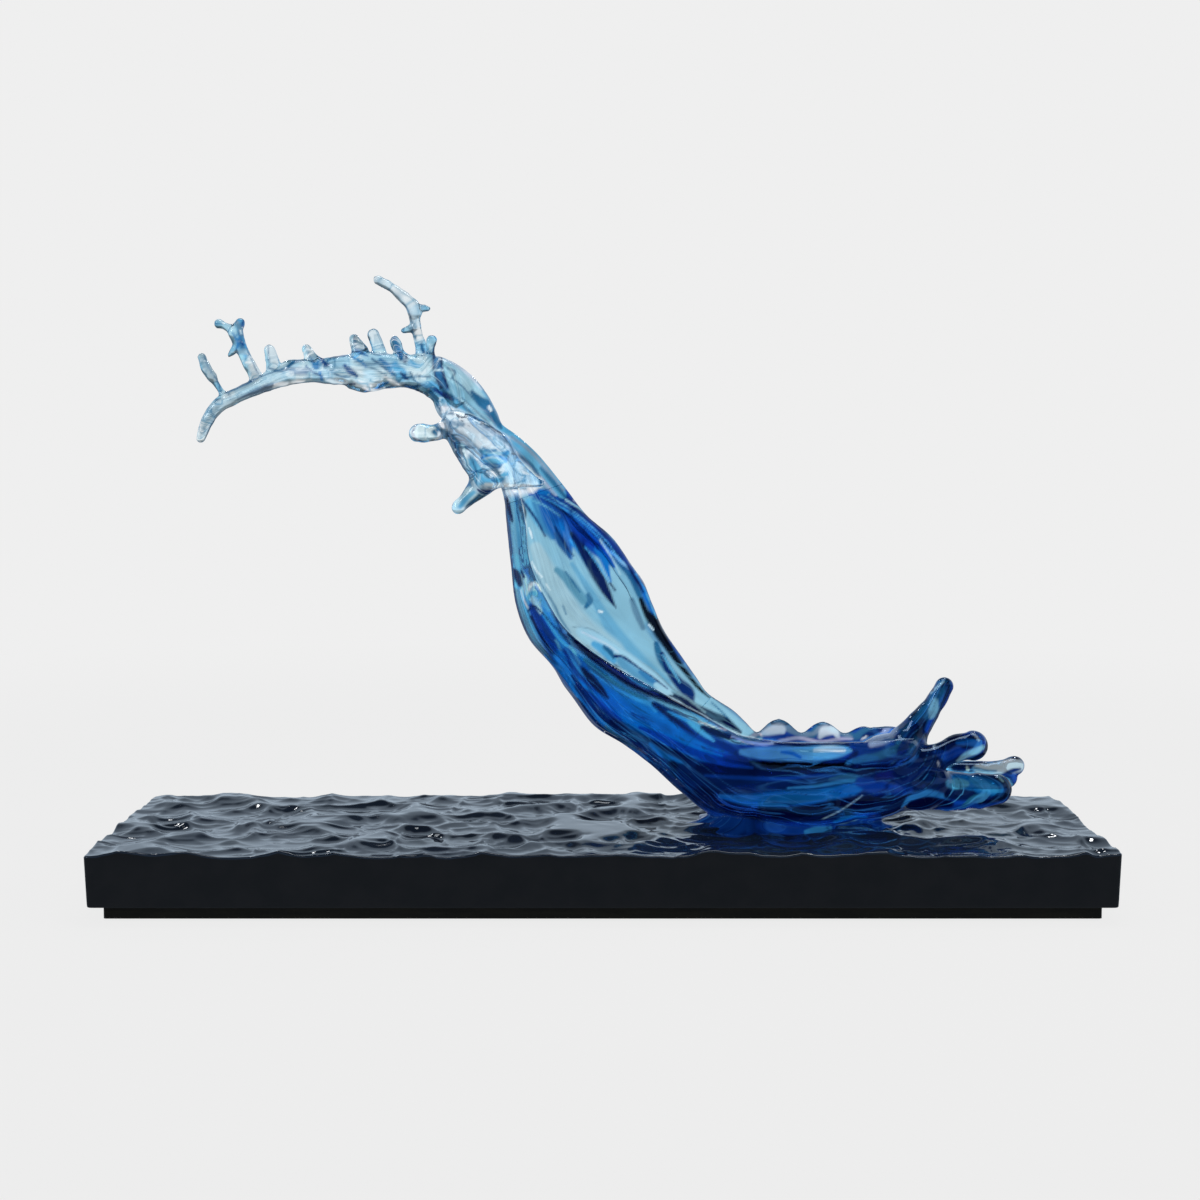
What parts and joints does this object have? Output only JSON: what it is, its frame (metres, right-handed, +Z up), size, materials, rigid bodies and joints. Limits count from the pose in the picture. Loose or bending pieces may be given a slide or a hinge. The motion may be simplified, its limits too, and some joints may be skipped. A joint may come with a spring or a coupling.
{
  "type": "resin wave sculpture",
  "caption": "Clear blue resin wave curling over from a rippled black base, with splash fingers along its crest and crown.",
  "frame": {"origin": "on the floor under the middle of the base", "axes": "+Z up, +X along the base from the crest towards the splash crown, +Y towards the back of the wave"},
  "size_m": [0.6, 0.2, 0.3791],
  "materials": {
    "black_cast": "satin black sides under a glossy rippled top",
    "black_board": "matt black paint",
    "steel": "zinc plated",
    "brass": "turned",
    "rubber": "matt",
    "deep_resin": "polished clear cobalt resin",
    "light_resin": "polished clear light blue resin",
    "pale_resin": "polished nearly clear resin"
  },
  "bodies": {
    "root": {"base_cover": "black_cast", "core_board": "black_board", "foot_board": "black_board", "foot_screw_1": "steel", "foot_screw_2": "steel", "foot_screw_3": "steel", "foot_screw_4": "steel", "foot_screw_5": "steel", "foot_screw_6": "steel", "foot_pad_1": "rubber", "foot_pad_2": "rubber", "foot_pad_3": "rubber", "foot_pad_4": "rubber", "mounting_bolt_1": "steel", "mounting_bolt_2": "steel", "bolt_washer_1": "steel", "bolt_washer_2": "steel", "threaded_insert_1": "brass", "threaded_insert_2": "brass", "wave_trough": "deep_resin", "wave_flume": "deep_resin", "crest_sheet": "light_resin", "shoulder_fold": "pale_resin", "crest_arm": "pale_resin", "crest_tip": "pale_resin", "trough_pin": "pale_resin", "sheet_pin": "pale_resin", "crest_finger_1": "pale_resin", "crest_finger_2": "pale_resin", "crest_finger_3": "pale_resin", "crest_finger_4": "pale_resin", "crest_finger_5": "pale_resin", "crest_finger_6": "pale_resin", "crest_finger_7": "pale_resin", "forked_splash": "pale_resin", "tall_splash": "pale_resin", "crown_finger_1": "deep_resin", "crown_finger_2": "deep_resin", "crown_finger_3": "light_resin", "crown_finger_4": "deep_resin"}
  },
  "joints": []
}
